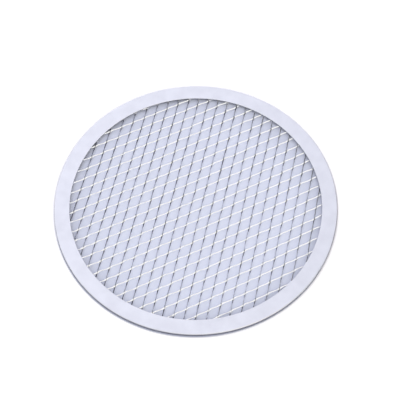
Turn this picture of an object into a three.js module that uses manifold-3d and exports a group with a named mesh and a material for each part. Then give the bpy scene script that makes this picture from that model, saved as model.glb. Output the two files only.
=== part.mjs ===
// A pizza screen: a disc of raised expanded aluminium, clamped at its border in a folded sheet rim.
// Millimetres, +Z up. The origin is the centre of the underside, and +X is the diamonds' long way.
import * as THREE from "three";
import { mergeVertices } from "three/addons/utils/BufferGeometryUtils.js";
import Module from "manifold-3d";

// Rim: a ring of sheet folded over the mesh, with both flanges measured in from the outermost edge
const outerDiameter = 152.4;
const topFlangeWidth = 8.4;
const bottomFlangeWidth = 7.6;
const rimSheet = 0.5;

// Mesh: a diamond is measured from bond to bond, and a strand across the sheet it was slit from
const diamondLength = 12.67;
const diamondWidth = 6.11;
const strandWidth = 0.65;
const strandThickness = 0.4;
const strandTilt = 45; // degrees out of the sheet's plane
const bondLength = 0.8;
const middleBondX = 0.1;
const middleBondY = 2.8;
const rowBow = 1.1; // how far the rows wander from straight by the time they reach the rim
const rowBowTurn = 148; // degrees, which way they wander

// Clamp: how the mesh's border sits between the flanges
const clampClearance = 0.3; // between the pressed border and each flange
const edgeClearance = 2; // between the mesh's edge and the inside of the fold
const pressedMargin = 0.1; // flat strip of mesh that shows beside the rim
const pressBlend = 1.5; // over which a strand turns from raised to flat

// Facets
const ringSegments = 96;
const foldSteps = 6;
const shortestStation = 0.05; // of a strand's length

const outerRadius = outerDiameter / 2;
const rimHeight = strandThickness + 2 * (clampClearance + rimSheet);
const topMouth = outerRadius - topFlangeWidth;
const bottomMouth = outerRadius - bottomFlangeWidth;
const meshRadius = outerRadius - rimSheet - edgeClearance;
const pressedRadius = Math.min(topMouth, bottomMouth) - pressedMargin;
const raisedRadius = pressedRadius - pressBlend;

const raisedTilt = THREE.MathUtils.degToRad(strandTilt);
const raisedHeight = 2 * strandWidth * Math.sin(raisedTilt) + strandThickness * Math.cos(raisedTilt);
const raisedMiddle = Math.max(rimHeight, raisedHeight) / 2;

const wasm = await Module();
wasm.setup();

function toSolid(geometry) {
  const plain = new THREE.BufferGeometry().setAttribute("position", geometry.getAttribute("position"));
  plain.setIndex(geometry.index);
  const merged = mergeVertices(plain);
  return new wasm.Manifold(
    new wasm.Mesh({
      numProp: 3,
      vertProperties: merged.attributes.position.array,
      triVerts: new Uint32Array(merged.index.array),
    }),
  );
}

function toGeometry(solid) {
  const { vertProperties, triVerts } = solid.getMesh();
  const geometry = new THREE.BufferGeometry();
  geometry.setAttribute("position", new THREE.BufferAttribute(vertProperties, 3));
  geometry.setIndex(new THREE.BufferAttribute(triVerts, 1));
  geometry.computeVertexNormals();
  return geometry;
}

// Half circle of the fold, from one flange round to the other
function foldArc(radius, fromAngle, toAngle) {
  const middle = new THREE.Vector2(outerRadius - rimHeight / 2, rimHeight / 2);
  return Array.from({ length: foldSteps + 1 }, (_, step) => {
    const angle = THREE.MathUtils.lerp(fromAngle, toAngle, step / foldSteps);
    return new THREE.Vector2(Math.cos(angle), Math.sin(angle)).multiplyScalar(radius).add(middle);
  });
}

function rimGeometry() {
  const quarter = Math.PI / 2;
  const section = [
    new THREE.Vector2(bottomMouth, rimSheet),
    new THREE.Vector2(bottomMouth, 0),
    ...foldArc(rimHeight / 2, -quarter, quarter),
    new THREE.Vector2(topMouth, rimHeight),
    new THREE.Vector2(topMouth, rimHeight - rimSheet),
    ...foldArc(rimHeight / 2 - rimSheet, quarter, -quarter),
  ];
  return new THREE.LatheGeometry([...section, section[0]], ringSegments).rotateX(quarter);
}

// Point of the mesh over a place in plan: "across" runs over the sheet's width, and "face" is 1 on top and
// -1 below. Strands lie tilted inside the raised radius and flat outside the pressed radius.
function meshPoint({ x, y, across }, face) {
  const pressed = THREE.MathUtils.clamp((Math.hypot(x, y) - raisedRadius) / pressBlend, 0, 1);
  const tilt = raisedTilt * (1 - pressed);
  const middle = THREE.MathUtils.lerp(raisedMiddle, rimHeight / 2, pressed);
  const lift = (face * strandThickness) / 2;
  return [
    x,
    y + across * Math.cos(tilt) - lift * Math.sin(tilt),
    middle + across * Math.sin(tilt) + lift * Math.cos(tilt),
  ];
}

// A bond's place once the stretched sheet's rows have bowed, which grows with the square of the radius
function bowed(x, y) {
  const turn = THREE.MathUtils.degToRad(rowBowTurn);
  const amount = rowBow / (outerRadius * outerRadius);
  const along = amount * (x * x - y * y);
  const aside = amount * 2 * x * y;
  return {
    x: x + along * Math.cos(turn) - aside * Math.sin(turn),
    y: y + along * Math.sin(turn) + aside * Math.cos(turn),
  };
}

// Where a strand between two bonds crosses a circle, as shares of its length
function crossings(from, to, radius) {
  const dx = to.x - from.x;
  const dy = to.y - from.y;
  const squared = dx * dx + dy * dy;
  const half = (from.x * dx + from.y * dy) / squared;
  const root = half * half - (from.x * from.x + from.y * from.y - radius * radius) / squared;
  return root > 0 ? [-half - Math.sqrt(root), -half + Math.sqrt(root)] : [];
}

// Lattice of bonds and strands, as one closed surface that reaches past the mesh's edge
function latticeGeometry() {
  const positions = [];
  const triangles = [];
  const bonds = new Map();

  // Top and bottom corner over one place in plan
  function addEdge(place) {
    const first = positions.length / 3;
    positions.push(...meshPoint(place, 1), ...meshPoint(place, -1));
    return { ...place, top: first, bottom: first + 1 };
  }

  function addQuad(a, b, c, d) {
    triangles.push(a, b, c, a, c, d);
  }

  function addBond(column, row) {
    const straightX = middleBondX + (column * diamondLength) / 2;
    const straightY = middleBondY + (row * diamondWidth) / 2;
    const { x, y } = bowed(straightX, straightY);
    if (Math.hypot(x, y) > meshRadius + diamondLength) return;
    const bond = {
      x,
      y,
      west: addEdge({ x: x - bondLength / 2, y, across: 0 }),
      east: addEdge({ x: x + bondLength / 2, y, across: 0 }),
      south: addEdge({ x, y, across: -strandWidth }),
      north: addEdge({ x, y, across: strandWidth }),
    };
    const { west, south, east, north } = bond;
    addQuad(west.top, south.top, east.top, north.top);
    addQuad(north.bottom, east.bottom, south.bottom, west.bottom);
    bonds.set(`${column},${row}`, bond);
  }

  // The half of a bond that a strand leaves eastwards or reaches from the west: its south and north edges
  const leaving = (bond, step) => (step > 0 ? [bond.east, bond.north] : [bond.south, bond.east]);
  const reaching = (bond, step) => (step > 0 ? [bond.south, bond.west] : [bond.west, bond.north]);
  const ring = ([south, north]) => [south.top, north.top, north.bottom, south.bottom];

  function between(from, to, share) {
    return addEdge({
      x: THREE.MathUtils.lerp(from.x, to.x, share),
      y: THREE.MathUtils.lerp(from.y, to.y, share),
      across: THREE.MathUtils.lerp(from.across, to.across, share),
    });
  }

  function addStrand(from, to, step) {
    const start = leaving(from, step);
    const end = reaching(to, step);
    const shares = [raisedRadius, pressedRadius]
      .flatMap((radius) => crossings(from, to, radius))
      .filter((share) => share > shortestStation && share < 1 - shortestStation)
      .sort((a, b) => a - b);
    const rings = [
      ring(start),
      ...shares.map((share) => ring([between(start[0], end[0], share), between(start[1], end[1], share)])),
      ring(end),
    ];
    for (let station = 1; station < rings.length; station++) {
      const near = rings[station - 1];
      const far = rings[station];
      for (let side = 0; side < 4; side++) {
        const next = (side + 1) % 4;
        addQuad(near[side], far[side], far[next], near[next]);
      }
    }
  }

  const columns = Math.ceil((2 * (meshRadius + diamondLength)) / diamondLength) + 1;
  const rows = Math.ceil((2 * (meshRadius + diamondLength)) / diamondWidth) + 1;
  for (let column = -columns; column <= columns; column++) {
    for (let row = -rows; row <= rows; row++) {
      if ((column + row) % 2 === 0) addBond(column, row);
    }
  }
  for (const [key, bond] of bonds) {
    const [column, row] = key.split(",").map(Number);
    for (const step of [1, -1]) {
      const east = bonds.get(`${column + 1},${row + step}`);
      if (east) addStrand(bond, east, step);
      else addQuad(...ring(leaving(bond, step)).reverse());
      if (!bonds.has(`${column - 1},${row - step}`)) addQuad(...ring(reaching(bond, step)));
    }
  }

  const geometry = new THREE.BufferGeometry();
  geometry.setAttribute("position", new THREE.Float32BufferAttribute(positions, 3));
  geometry.setIndex(triangles);
  return geometry;
}

// The lattice blanked to a disc, without the loose offcuts at its edge
function meshGeometry() {
  const blankHeight = 2 * (rimHeight + raisedHeight);
  const blank = new THREE.CylinderGeometry(meshRadius, meshRadius, blankHeight, ringSegments);
  blank.rotateX(Math.PI / 2);
  const pieces = toSolid(latticeGeometry()).intersect(toSolid(blank)).decompose();
  const disc = pieces.reduce((largest, piece) => (piece.volume() > largest.volume() ? piece : largest));
  return toGeometry(disc);
}

function addPiece(group, name, geometry, material) {
  const piece = new THREE.Mesh(geometry, new THREE.MeshStandardMaterial(material));
  piece.name = name;
  group.add(piece);
}

const screen = new THREE.Group();
addPiece(screen, "rim", rimGeometry(), { color: 0xe5e7f7, roughness: 0.45, metalness: 0.9 });
addPiece(screen, "mesh", meshGeometry(), { color: 0xd6d9e6, roughness: 0.35, metalness: 0.9 });

export default screen;
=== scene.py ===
import math
import random

import bpy
from mathutils import Matrix, Vector


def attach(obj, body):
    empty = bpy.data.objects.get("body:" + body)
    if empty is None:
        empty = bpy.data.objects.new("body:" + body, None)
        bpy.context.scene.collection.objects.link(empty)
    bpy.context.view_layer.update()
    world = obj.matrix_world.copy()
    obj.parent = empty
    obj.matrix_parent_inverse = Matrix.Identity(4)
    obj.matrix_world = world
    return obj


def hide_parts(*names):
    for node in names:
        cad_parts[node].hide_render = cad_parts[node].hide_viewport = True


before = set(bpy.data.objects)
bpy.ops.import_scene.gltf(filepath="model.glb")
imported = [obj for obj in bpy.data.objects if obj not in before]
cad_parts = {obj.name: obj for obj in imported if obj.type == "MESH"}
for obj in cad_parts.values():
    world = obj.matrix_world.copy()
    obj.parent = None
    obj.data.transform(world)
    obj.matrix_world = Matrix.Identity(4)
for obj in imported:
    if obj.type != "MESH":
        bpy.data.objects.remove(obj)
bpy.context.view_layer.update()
mm = 0.001  # the pieces are measured in millimetres, Blender works in metres
scene = bpy.context.scene
scene.view_settings.view_transform = "Standard"


photoShot = {
    "aim": (3.54, -0.12, 2.0),  # a little right of the middle of the rim's top
    "azimuth": -50.75,  # 0 looks along +Y
    "elevation": 60.95,
    "distance": 788.4,
    "roll": 1.05,
    "lens": 131.86,
    "sensor": 36.0,
    "clip": (0.01, 50),  # metres
}


def addCamera(shot):
    aim = Vector(shot["aim"]) * mm
    azimuth, elevation = math.radians(shot["azimuth"]), math.radians(shot["elevation"])
    level = math.cos(elevation)
    back = Vector((math.sin(azimuth) * level, -math.cos(azimuth) * level, math.sin(elevation)))
    data = bpy.data.cameras.new("photoCamera")
    data.lens, data.sensor_width = shot["lens"], shot["sensor"]
    data.clip_start, data.clip_end = shot["clip"]
    camera = bpy.data.objects.new("photoCamera", data)
    aimed = (-back).to_track_quat("-Z", "Y").to_matrix().to_4x4()
    turn = aimed @ Matrix.Rotation(math.radians(-shot["roll"]), 4, "Z")
    camera.matrix_world = Matrix.Translation(aim + back * shot["distance"] * mm) @ turn
    scene.collection.objects.link(camera)
    scene.camera = camera


addCamera(photoShot)
print("camera placed")


# an input's value is a socket to link, or a constant to set
def addNode(tree, kind, inputs=None, **settings):
    node = tree.nodes.new(kind)
    for name, value in settings.items():
        setattr(node, name, value)
    for name, value in (inputs or {}).items():
        if hasattr(value, "is_linked"):
            tree.links.new(value, node.inputs[name])
        else:
            node.inputs[name].default_value = value
    return node


def addMath(tree, operation, *values):
    return addNode(tree, "ShaderNodeMath", dict(enumerate(values)), operation=operation).outputs[0]


def addVectorMath(tree, operation, first, second):
    return addNode(tree, "ShaderNodeVectorMath", {0: first, 1: second}, operation=operation).outputs


def addRange(tree, value, low, high, toLow, toHigh, interpolation="LINEAR"):
    inputs = {"Value": value, "From Min": low, "From Max": high, "To Min": toLow, "To Max": toHigh}
    node = addNode(tree, "ShaderNodeMapRange", inputs, interpolation_type=interpolation)
    return node.outputs["Result"]


def addNoise(tree, place, stretch, detail, roughness):
    # noise whose grains are about 1 / stretch long on each axis, in metres
    moved = addVectorMath(tree, "MULTIPLY", place, stretch)["Vector"]
    inputs = {"Vector": moved, "Scale": 1.0, "Detail": detail, "Roughness": roughness}
    return addNode(tree, "ShaderNodeTexNoise", inputs).outputs["Fac"]


def addColourMix(tree, factor, first, second):
    node = addNode(tree, "ShaderNodeMix", {"Factor": factor}, data_type="RGBA")
    for name, value in (("A", first), ("B", second)):
        socket = next(s for s in node.inputs if s.name == name and s.type == "RGBA")
        if hasattr(value, "is_linked"):
            tree.links.new(value, socket)
        else:
            socket.default_value = (*value, 1)
    return next(s for s in node.outputs if s.type == "RGBA")


def newMaterial(name):
    material = bpy.data.materials.new(name)
    material.use_nodes = True
    tree = material.node_tree
    return material, tree, tree.nodes["Principled BSDF"]


def newMetal(name, finish):
    # bare metal with rolling lines, and the two noises that its wear follows
    material, tree, shader = newMaterial(name)
    place = addNode(tree, "ShaderNodeTexCoord").outputs["Object"]
    grain = addNoise(tree, place, finish["grain"], *finish["grainDetail"])
    mottle = addNoise(tree, place, finish["mottle"], *finish["mottleDetail"])
    inputs = {
        "Height": grain,
        "Strength": finish["grainStrength"],
        "Distance": finish["grainDepth"] * mm,
    }
    bump = addNode(tree, "ShaderNodeBump", inputs)
    tree.links.new(bump.outputs["Normal"], shader.inputs["Normal"])
    shader.inputs["Metallic"].default_value = 1.0
    return material, tree, shader, grain, mottle


def evenShading(data):
    # smooth normals in which a wide face leads over the narrow ones beside it
    sums = [Vector() for _ in data.vertices]
    for face in data.polygons:
        for corner in face.vertices:
            sums[corner] += face.normal * (face.area / mm**2)
    data.shade_smooth()
    data.normals_split_custom_set_from_vertices([total.normalized() for total in sums])


# a ring of sheet folded over the mesh's border
rimSizes = {
    "outerRadius": 76.2,
    "topFlange": 8.4,
    "bottomFlange": 7.6,
    "sheet": 0.5,
    "height": 2.0,
    "lipRound": 0.14,  # the inner edges, rolled over by the blanking die
    "lipSteps": 4,
    "foldRound": 0.52,
    "foldSteps": 9,
    "tuckedFrom": 1.0,  # how far behind a lip the flange's hidden face starts
    "segments": 288,
    "unshadedAbove": 1.92,  # painted shade darkens the fold's wall from this height down to the next one
    "shadedBelow": 1.60,
    # the most that painted shade darkens the wall
    "wallShade": 0.95,
    # number, depth and turn of the top flange's waves
    "waves": ((3, 0.012, 0.4), (7, 0.008, 2.1), (16, 0.004, 1.2)),
}


def arc(middle, radius, fromAngle, toAngle, steps):
    spread = toAngle - fromAngle
    angles = [math.radians(fromAngle + spread * step / steps) for step in range(steps + 1)]
    return [(middle[0] + radius * math.cos(a), middle[1] + radius * math.sin(a)) for a in angles]


def rimSection(sizes):
    # radius, height and painted shade of each corner, from the bottom lip round the outside and
    # back
    outer, height, sheet = sizes["outerRadius"], sizes["height"], sizes["sheet"]
    lip, lipSteps = sizes["lipRound"], sizes["lipSteps"]
    fold, foldSteps = sizes["foldRound"], sizes["foldSteps"]
    foldLow, foldHigh = (outer - fold, fold), (outer - fold, height - fold)
    bottomMouth, topMouth = outer - sizes["bottomFlange"], outer - sizes["topFlange"]

    def shadeAt(radius, z):
        if radius < outer - height and z > height / 2:
            return 0.0  # the top flange's lip
        share = (sizes["unshadedAbove"] - z) / (sizes["unshadedAbove"] - sizes["shadedBelow"])
        return min(max(share, 0), 1) * sizes["wallShade"]

    outside = arc((bottomMouth + lip, sheet - lip), lip, 90, 180, lipSteps)
    outside += arc((bottomMouth + lip, lip), lip, 180, 270, lipSteps)
    outside += arc(foldLow, fold, -90, 0, foldSteps)
    outside += arc(foldHigh, fold, 0, 90, foldSteps)
    outside += arc((topMouth + lip, height - lip), lip, 90, 180, lipSteps)
    outside += arc((topMouth + lip, height - sheet + lip), lip, 180, 270, lipSteps)
    # the hidden inside of the fold gets the full painted shade
    inside = [(topMouth + sizes["tuckedFrom"], height - sheet)]
    inside += arc(foldHigh, fold - sheet, 90, 0, foldSteps)
    inside += arc(foldLow, fold - sheet, 0, -90, foldSteps)
    inside += [(bottomMouth + sizes["tuckedFrom"], sheet)]
    return [(r, z, shadeAt(r, z)) for r, z in outside] + [(r, z, 1.0) for r, z in inside]


def makeRim(sizes):
    section = rimSection(sizes)
    count, segments, half = len(section), sizes["segments"], sizes["height"] / 2
    verts, faces, paintedShade = [], [], []
    for segment in range(segments):
        angle = 2 * math.pi * segment / segments
        wave = sum(
            depth * (math.sin(number * angle + turn) - 1) / 2
            for number, depth, turn in sizes["waves"]
        )
        for radius, z, darkening in section:
            paintedShade.append(darkening)
            lifted = z + wave * max(0, z - half) / half
            x, y = radius * math.cos(angle), radius * math.sin(angle)
            verts.append((x * mm, y * mm, lifted * mm))
    for segment in range(segments):
        here, after = segment * count, (segment + 1) % segments * count
        for k in range(count):
            following = (k + 1) % count
            faces.append((here + k, after + k, after + following, here + following))
    data = bpy.data.meshes.new("rimRing")
    data.from_pydata(verts, [], faces)
    # each point's painted shade, which the material mixes in
    data.attributes.new("paintedShade", "FLOAT", "POINT").data.foreach_set("value", paintedShade)
    evenShading(data)
    rim = bpy.data.objects.new("rimRing", data)
    scene.collection.objects.link(rim)
    return rim


rimFinish = {
    "colour": (0.865, 0.865, 0.87),
    "dullColour": (0.825, 0.825, 0.835),
    "dullRange": (0.35, 0.7),  # of the mottle
    "paintedShadeColour": (0.17, 0.175, 0.23),  # painted shade inside the fold and down the fold's outer wall
    "roughness": (0.38, 0.48),
    "roughRange": (0.3, 0.7),  # of grain and mottle together
    "grainShare": 0.4,
    "grain": (350, 14000, 14000),  # rolling lines along X
    "grainDetail": (3.0, 0.6),
    "grainStrength": 0.35,
    "grainDepth": 0.007,
    "mottle": (160, 160, 160),
    "mottleDetail": (4.0, 0.55),
}


def rimAluminium(finish):
    material, tree, shader, grain, mottle = newMetal("rimAluminium", finish)
    darkening = addRange(tree, mottle, *finish["dullRange"], 0.0, 1.0)
    paintedShade = addNode(tree, "ShaderNodeAttribute", attribute_name="paintedShade").outputs["Fac"]
    colour = addColourMix(tree, darkening, finish["colour"], finish["dullColour"])
    # painted shade: darker inside the fold and down the fold's outer wall
    colour = addColourMix(tree, paintedShade, colour, finish["paintedShadeColour"])
    tree.links.new(colour, shader.inputs["Base Color"])
    grained = addMath(tree, "MULTIPLY", grain, finish["grainShare"])
    mottled = addMath(tree, "MULTIPLY", mottle, 1 - finish["grainShare"])
    worn = addMath(tree, "ADD", grained, mottled)
    rough = addRange(tree, worn, *finish["roughRange"], *finish["roughness"])
    tree.links.new(rough, shader.inputs["Roughness"])
    return material


rim = makeRim(rimSizes)
rim.data.materials.append(rimAluminium(rimFinish))
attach(rim, "root")
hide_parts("rim")
print("rim made,", len(rim.data.polygons), "faces")


# raised expanded sheet: a bond in every corner of its diamonds and a strand along every side
meshSizes = {
    "diamondLength": 12.67,
    "diamondWidth": 6.11,
    "columns": 14,  # of bonds, each way from the middle one
    "rows": 27,
    "middleBond": (0.1, 2.8),
    "strandWidth": 0.65,
    "strandThickness": 0.4,
    "upperTilt": 46,  # degrees that a bond's two halves lean out of the sheet
    "lowerTilt": 20,
    "rowBow": 1.1,  # how far the rows wander from straight by the time they reach this radius
    "rowBowRadius": rimSizes["outerRadius"],
    "rowBowTurn": 148,  # degrees, which way they wander
    "bondLength": 0.8,
    "riseBend": 0.2,  # share of a climbing strand that curves into each bond
    "fallBend": 0.06,  # and of a falling one
    "rise": 0.6,  # a strand that climbs eastwards climbs early
    "fall": 3.2,  # and one that falls turns over late
    "chamfer": 0.05,
    "stations": 7,
    "middleHeight": 1.0,
    "trimRadius": 73.7,
    "cutGap": 0.02,  # share that a cut strand is short of its lost bond, so that no two touch
    "cutHalvings": 24,  # steps that find where the trim cuts a strand
    "shortestStrand": 0.08,  # of a whole one
    "raisedRadius": 67.0,  # strands lean fully inside it
    "pressBlend": 1.0,  # and lie flat this much further out
    "placeScatter": 0.08,
    "leanScatter": 2.5,
    "seed": 11,
}


def bendIn(share, bend):
    # starts and ends level, straight between
    if share < bend:
        return share * share / (2 * bend * (1 - bend))
    if share > 1 - bend:
        return 1 - (1 - share) ** 2 / (2 * bend * (1 - bend))
    return (share - bend / 2) / (1 - bend)


def blendOf(a, b, share):
    return a + (b - a) * share


def bowed(x, y, sizes):
    # a bond's place once the rows of the stretched sheet have bowed
    turn, squared = math.radians(sizes["rowBowTurn"]), sizes["rowBowRadius"] ** 2
    along = sizes["rowBow"] * (x * x - y * y) / squared
    aside = sizes["rowBow"] * (2 * x * y) / squared
    return (
        x + along * math.cos(turn) - aside * math.sin(turn),
        y + along * math.sin(turn) + aside * math.cos(turn),
    )


def tiltsAt(x, y, lean, sizes):
    # lean of a bond's lower and upper half, which the rim presses flat
    pressed = (math.hypot(x, y) - sizes["raisedRadius"]) / sizes["pressBlend"]
    left = 1 - min(max(pressed, 0), 1)
    return [math.radians(sizes[name] + lean) * left for name in ("lowerTilt", "upperTilt")]


def overAndBack(edges):
    return edges + [(across, -lift) for across, lift in edges[::-1]]


def bondRow(x, y, lean, sizes):
    # points round a bond, from its south edge over the top to its north edge and back below
    width, half, chamfer = sizes["strandWidth"], sizes["strandThickness"] / 2, sizes["chamfer"]
    lower, upper = tiltsAt(x, y, lean, sizes)
    edges = [
        (-width, half - chamfer),
        (chamfer - width, half),
        (0, half),
        (width - chamfer, half),
        (width, half - chamfer),
    ]
    points = []
    for across, lift in overAndBack(edges):
        tilt = upper if across > 0 else lower
        facing = tilt if across else (upper + lower) / 2
        outward = y + across * math.cos(tilt) - lift * math.sin(facing)
        height = sizes["middleHeight"] + across * math.sin(tilt) + lift * math.cos(facing)
        points.append((x, outward, height))
    return points


def strandRow(x, y, lean, raised, lifted, sizes):
    # points round a strand, whose tilt is raised and whose middle is lifted from the lower
    # half of one bond to the upper half of another
    width, half, chamfer = sizes["strandWidth"], sizes["strandThickness"] / 2, sizes["chamfer"]
    lower, upper = tiltsAt(x, y, lean, sizes)
    tilt = blendOf(lower, upper, raised)
    middle = y + width / 2 * blendOf(-math.cos(lower), math.cos(upper), lifted)
    middleHeight = width / 2 * blendOf(-math.sin(lower), math.sin(upper), lifted)
    middleHeight += sizes["middleHeight"]
    edges = [
        (-width / 2, half - chamfer),
        (chamfer - width / 2, half),
        (width / 2 - chamfer, half),
        (width / 2, half - chamfer),
    ]
    points = []
    for across, lift in overAndBack(edges):
        outward = middle + across * math.cos(tilt) - lift * math.sin(tilt)
        height = middleHeight + across * math.sin(tilt) + lift * math.cos(tilt)
        points.append((x, outward, height))
    return points


flat, chamfered, cut = 0, 0.4, 1  # how far a side has the look of a cut edge
strandSides = (chamfered, flat, chamfered, cut) * 2
bondSides = (chamfered, flat, flat, chamfered, cut) * 2
northHalf = (2, 2, 3, 4, 5, 6, 7, 7)  # a bond's points, as a strand on that half meets them
southHalf = (0, 1, 2, 2, 7, 7, 8, 9)


def makeMesh(sizes):
    rng = random.Random(sizes["seed"])
    verts, faces, sheared = [], [], []
    bonds = {}

    def addRow(points):
        verts.extend((x * mm, y * mm, z * mm) for x, y, z in points)
        return list(range(len(verts) - len(points), len(verts)))

    def addFace(corners, look):
        kept = [c for k, c in enumerate(corners) if c != corners[k - 1]]
        if len(kept) > 2:
            faces.append(kept)
            sheared.append(look)

    def addLoft(west, east, sides):
        for k, look in enumerate(sides):
            after = (k + 1) % len(sides)
            addFace((west[k], east[k], east[after], west[after]), look)

    def addBond(column, row):
        middleX, middleY = sizes["middleBond"]
        x = middleX + column * sizes["diamondLength"] / 2 + rng.gauss(0, sizes["placeScatter"])
        y = middleY + row * sizes["diamondWidth"] / 2 + rng.gauss(0, sizes["placeScatter"])
        x, y = bowed(x, y, sizes)
        lean = rng.gauss(0, sizes["leanScatter"])
        reach = math.hypot(x, y)
        if reach > sizes["trimRadius"] + sizes["diamondLength"]:
            return
        bond = {"x": x, "y": y, "lean": lean, "inside": reach < sizes["trimRadius"]}
        bonds[column, row] = bond
        if bond["inside"]:
            places = [x + sizes["bondLength"] * k / 2 for k in (-1, 0, 1)]
            rows = [addRow(bondRow(place, y, lean, sizes)) for place in places]
            addLoft(rows[0], rows[1], bondSides)
            addLoft(rows[1], rows[2], bondSides)
            bond["west"], bond["east"] = rows[0], rows[2]

    def addStrand(west, east, step):
        leaves, meets = (northHalf, southHalf) if step > 0 else (southHalf, northHalf)
        halfBond = sizes["bondLength"] / 2

        def placeAt(share):
            bent = bendIn(share, sizes["fallBend" if step > 0 else "riseBend"])
            x = blendOf(west["x"] + halfBond, east["x"] - halfBond, share)
            y = blendOf(west["y"], east["y"], bent)
            if step > 0:
                return x, y, 1 - share ** sizes["fall"], 1 - share
            return x, y, share ** sizes["rise"], share ** sizes["rise"]

        def trimmedShare():
            gap = sizes["cutGap"]
            within, beyond = (0, 1 - gap) if west["inside"] else (1, gap)
            for _ in range(sizes["cutHalvings"]):
                middle = (within + beyond) / 2
                if math.hypot(*placeAt(middle)[:2]) < sizes["trimRadius"]:
                    within = middle
                else:
                    beyond = middle
            return within

        first = 0.0 if west["inside"] else trimmedShare()
        last = 1.0 if east["inside"] else trimmedShare()
        start = [west["east"][k] for k in leaves] if west["inside"] else None
        end = [east["west"][k] for k in meets] if east["inside"] else None
        if last - first < sizes["shortestStrand"]:
            if start:
                addFace(start[::-1], cut)
            if end:
                addFace(end, cut)
            return
        rows = []
        count = sizes["stations"] + 1
        for station in range(count + 1):
            if station == 0 and start:
                rows.append(start)
            elif station == count and end:
                rows.append(end)
            else:
                share = blendOf(first, last, station / count)
                x, y, raised, lifted = placeAt(share)
                lean = blendOf(west["lean"], east["lean"], share)
                rows.append(addRow(strandRow(x, y, lean, raised, lifted, sizes)))
        for near, far in zip(rows, rows[1:]):
            addLoft(near, far, strandSides)
        if not start:
            addFace(rows[0], cut)
        if not end:
            addFace(rows[-1][::-1], cut)

    for column in range(-sizes["columns"], sizes["columns"] + 1):
        for row in range(-sizes["rows"], sizes["rows"] + 1):
            if (column + row) % 2 == 0:
                addBond(column, row)
    for (column, row), bond in bonds.items():
        for step in (1, -1):
            east = bonds.get((column + 1, row + step))
            if east and (bond["inside"] or east["inside"]):
                addStrand(bond, east, step)

    data = bpy.data.meshes.new("expandedMesh")
    data.from_pydata(verts, [], faces)
    data.attributes.new("sheared", "FLOAT", "FACE").data.foreach_set("value", sheared)
    evenShading(data)
    mesh = bpy.data.objects.new("expandedMesh", data)
    scene.collection.objects.link(mesh)
    return mesh


meshFinish = {
    "colour": (0.86, 0.862, 0.87),
    "cutColour": (0.80, 0.80, 0.81),
    "roughness": (0.20, 0.28),
    "roughRange": (0.7, 1.3),  # of grain and mottle added up
    "cutRoughness": 0.38,
    "grain": (500, 12000, 12000),  # rolling lines along X
    "grainDetail": (3.0, 0.6),
    "grainStrength": 0.35,
    "grainDepth": 0.004,
    "mottle": (260, 260, 260),
    "mottleDetail": (3.0, 0.55),
}


def meshAluminium(finish):
    material, tree, shader, grain, mottle = newMetal("meshAluminium", finish)
    sheared = addNode(tree, "ShaderNodeAttribute", attribute_name="sheared").outputs["Fac"]
    colour = addColourMix(tree, sheared, finish["colour"], finish["cutColour"])
    tree.links.new(colour, shader.inputs["Base Color"])
    worn = addMath(tree, "ADD", grain, mottle)
    rolled = addRange(tree, worn, *finish["roughRange"], *finish["roughness"])
    inputs = {"Factor": sheared, "A": rolled, "B": finish["cutRoughness"]}
    rough = addNode(tree, "ShaderNodeMix", inputs).outputs["Result"]
    tree.links.new(rough, shader.inputs["Roughness"])
    return material


mesh = makeMesh(meshSizes)
mesh.data.materials.append(meshAluminium(meshFinish))
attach(mesh, "root")
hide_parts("mesh")
print("mesh made,", len(mesh.data.polygons), "faces")


floorLook = {
    "size": 30.0,  # metres, so that its edge shows only in very low views
    "below": 0.02,
    "colour": (0.84, 0.84, 0.84),  # for the light that it throws back
    "openColour": (1.52, 1.48, 1.42),  # as it is seen: open floor is white
    "shadedColour": (0.945, 0.97, 1.075),  # painted shade: the paper under the screen stays grey
    "shadedRadii": (75.65, 76.4),
    # the painted shade's disc is set off towards the camera, so a sliver of painted shadow shows
    # beside the rim there
    "shadedMiddle": (-0.82, -0.37),
    "dimmedColour": (0.72, 0.74, 0.84),  # and painted shade dims it towards the rim, which keeps light off it
    "dimmedRadii": (44.0, 70.0),
    "dimmedPower": 3.0,
    "roughness": 0.9,
}


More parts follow.
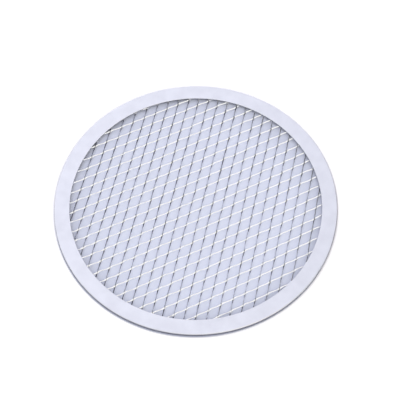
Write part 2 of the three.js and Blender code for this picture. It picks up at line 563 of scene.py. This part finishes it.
def addFloor(look):
    half, below = look["size"] / 2, -look["below"] * mm
    corners = ((-half, -half), (half, -half), (half, half), (-half, half))
    data = bpy.data.meshes.new("floor")
    data.from_pydata([(x, y, below) for x, y in corners], [], [(0, 1, 2, 3)])
    floor = bpy.data.objects.new("floor", data)
    scene.collection.objects.link(floor)
    material, tree, shader = newMaterial("palePaper")
    place = addNode(tree, "ShaderNodeTexCoord").outputs["Object"]
    middle = (*(side * mm for side in look["shadedMiddle"]), 0)
    radius = addVectorMath(tree, "DISTANCE", place, middle)["Value"]
    inner, outer = (r * mm for r in look["shadedRadii"])
    opened = addRange(tree, radius, inner, outer, 0, 1, "SMOOTHSTEP")
    inner, outer = (r * mm for r in look["dimmedRadii"])
    dimmed = addRange(tree, radius, inner, outer, 0, 1)
    dimmed = addMath(tree, "POWER", dimmed, look["dimmedPower"])
    # painted shade of the paper under the screen, dimmer towards the rim
    shadedPaper = addColourMix(tree, dimmed, look["shadedColour"], look["dimmedColour"])
    seenColour = addColourMix(tree, opened, shadedPaper, look["openColour"])
    path = addNode(tree, "ShaderNodeLightPath").outputs
    seen = addMath(tree, "MAXIMUM", path["Is Camera Ray"], path["Is Glossy Ray"])
    seen = addMath(tree, "MAXIMUM", seen, path["Is Transmission Ray"])
    colour = addColourMix(tree, seen, look["colour"], seenColour)
    tree.links.new(colour, shader.inputs["Base Color"])
    shader.inputs["Roughness"].default_value = look["roughness"]
    shader.inputs["Specular IOR Level"].default_value = 0.0
    data.materials.append(material)


# the only light: azimuth from +X, elevation, inner and outer half-width and colour of each patch
domeLook = {
    "colour": (0.60, 0.62, 0.68),
    "patches": (
        (12, 46, 45, 75, (1.05, 1.07, 1.24)),  # behind the object
        (260, 14, 14, 36, (1.22, 1.21, 1.16)),  # a tall key light, right of the camera
        (272, 56, 18, 40, (1.26, 1.25, 1.20)),  # and its upper end
        (-37, 2, 16, 31, (0.24, 0.26, 0.36)),  # the dark room on the camera's right
        (-22, 40, 23, 31, (0.0, 0.0, 0.02)),  # and a black flag above it
    ),
    "strength": 1.0,
}


def addDome(look):
    world = bpy.data.worlds.new("studioDome")
    scene.world = world
    world.use_nodes = True
    tree = world.node_tree
    place = addNode(tree, "ShaderNodeTexCoord").outputs["Generated"]
    colour = look["colour"]
    for azimuth, elevation, inner, outer, patchColour in look["patches"]:
        a, e = math.radians(azimuth), math.radians(elevation)
        towards = (math.cos(a) * math.cos(e), math.sin(a) * math.cos(e), math.sin(e))
        near = addVectorMath(tree, "DOT_PRODUCT", place, towards)["Value"]
        edge, core = math.cos(math.radians(outer)), math.cos(math.radians(inner))
        inside = addRange(tree, near, edge, core, 0, 1, "SMOOTHSTEP")
        colour = addColourMix(tree, inside, colour, patchColour)
    background = tree.nodes["Background"]
    tree.links.new(colour, background.inputs["Color"])
    background.inputs["Strength"].default_value = look["strength"]


addFloor(floorLook)
addDome(domeLook)
print("floor and light made")
